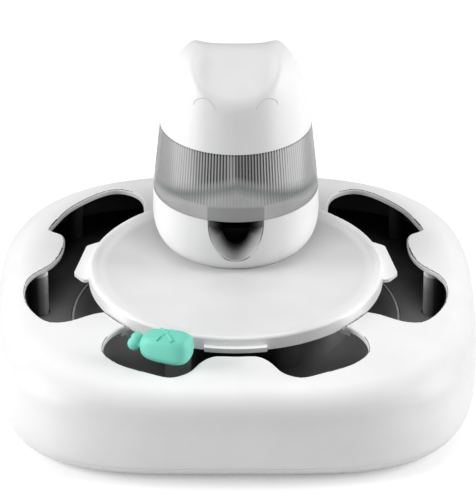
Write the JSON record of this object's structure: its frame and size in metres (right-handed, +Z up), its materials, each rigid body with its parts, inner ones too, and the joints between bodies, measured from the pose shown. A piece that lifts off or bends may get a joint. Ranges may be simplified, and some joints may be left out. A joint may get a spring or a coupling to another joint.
{
  "type": "automatic cat toy with treat dispenser",
  "caption": "Square play base with paw openings, a turning pop-up lure, a round feeding tray and a treat tower with a cat-shaped lid.",
  "frame": {"origin": "centre of the base, on the floor under its feet", "axes": "+Z up, -Y towards the front, where the tower's outlet and the cat's face look"},
  "size_m": [0.3608, 0.3608, 0.2465],
  "materials": {
    "white_shell": "satin white moulded ABS",
    "dark_plastic": "dark grey moulded ABS",
    "black_plastic": "black moulded plastic",
    "grey_plastic": "light grey moulded plastic",
    "foot_rubber": "soft non-slip rubber",
    "screw_steel": "zinc plated steel",
    "spring_steel": "bright drawn steel",
    "motor_steel": "rolled steel can",
    "cell_wrap": "shrink wrapped cell",
    "circuit_board": "green solder mask",
    "brass": "turned brass",
    "nylon": "natural acetal",
    "lure_rubber": "soft teal silicone",
    "impeller_rubber": "soft grey green silicone",
    "seal_silicone": "pale silicone",
    "clear_plastic": "clear polycarbonate",
    "smoke_plastic": "smoke tinted clear plastic"
  },
  "bodies": {
    "base": {"base_pan": "white_shell", "centre_column": "white_shell", "top_cover": "white_shell", "play_deck": "dark_plastic", "rubber_feet": "foot_rubber", "base_screws": "screw_steel", "battery_door": "white_shell", "battery_cells": "cell_wrap", "battery_holder": "black_plastic", "drive_motor": "motor_steel", "main_board": "circuit_board", "rear_panel": "grey_plastic", "button_board": "circuit_board", "charge_port": "screw_steel", "contact_block": "black_plastic", "contact_pins": "brass", "thrust_washer": "nylon"},
    "turntable": {"turntable": "dark_plastic", "turntable_bush": "nylon", "ring_gear": "nylon", "lift_springs": "spring_steel"},
    "pinion": {"drive_pinion": "brass", "motor_shaft": "spring_steel"},
    "lure": {"lure_bracket": "clear_plastic", "lure": "lure_rubber"},
    "button": {"power_button": "grey_plastic"},
    "tray": {"feeding_tray": "white_shell"},
    "tower": {"tower_bowl": "white_shell", "outlet_chute": "black_plastic", "laser_servo": "black_plastic", "hopper_floor": "grey_plastic", "feed_motor": "motor_steel", "control_board": "circuit_board"},
    "laser": {"laser_cradle": "black_plastic", "laser_module": "black_plastic", "laser_lens": "clear_plastic"},
    "impeller": {"impeller": "impeller_rubber", "feed_shaft": "spring_steel"},
    "hopper": {"hopper_bin": "smoke_plastic"},
    "lid": {"head_lid": "white_shell", "lid_seal": "seal_silicone"}
  },
  "joints": [
    {"name": "table_turn", "type": "hinge", "parent": "base", "child": "turntable", "pos_m": [0, 0, 0], "axis": [0, 0, 1], "range_deg": [-18.5, 58.4]},
    {"name": "pinion_turn", "type": "hinge", "parent": "base", "child": "pinion", "pos_m": [0, 0.0376, 0], "axis": [0, 0, 1], "range_deg": [-240, 76]},
    {"name": "lure_duck", "type": "slide", "parent": "turntable", "child": "lure", "axis": [0, 0, 1], "range_m": [-0.031, 0], "stiffness_N_per_m": 60, "springref_m": 0.01, "deforming": ["lift_springs"]},
    {"name": "button_press", "type": "slide", "parent": "base", "child": "button", "axis": [0, -1, 0], "range_m": [0, 0.0012], "stiffness_N_per_m": 500, "springref_m": -0.0006},
    {"name": "tray_lift", "type": "slide", "parent": "base", "child": "tray", "axis": [0, 0, 1], "range_m": [0, 0.04]},
    {"name": "tower_lift", "type": "slide", "parent": "tray", "child": "tower", "axis": [0, 0, 1], "range_m": [0, 0.03]},
    {"name": "hopper_lift", "type": "slide", "parent": "tower", "child": "hopper", "axis": [0, 0, 1], "range_m": [0, 0.03]},
    {"name": "lid_lift", "type": "slide", "parent": "hopper", "child": "lid", "axis": [0, 0, 1], "range_m": [0, 0.04]},
    {"name": "impeller_spin", "type": "hinge", "parent": "tower", "child": "impeller", "pos_m": [0, 0.0492, 0.13], "axis": [0, 0, 1], "continuous": true},
    {"name": "laser_tilt", "type": "hinge", "parent": "tower", "child": "laser", "pos_m": [0.012, 0.008, 0.117], "axis": [1, 0, 0], "range_deg": [-15, 15]}
  ],
  "couplings": [
    {"joint": "pinion_turn", "follows": "table_turn", "ratio": -4}
  ]
}
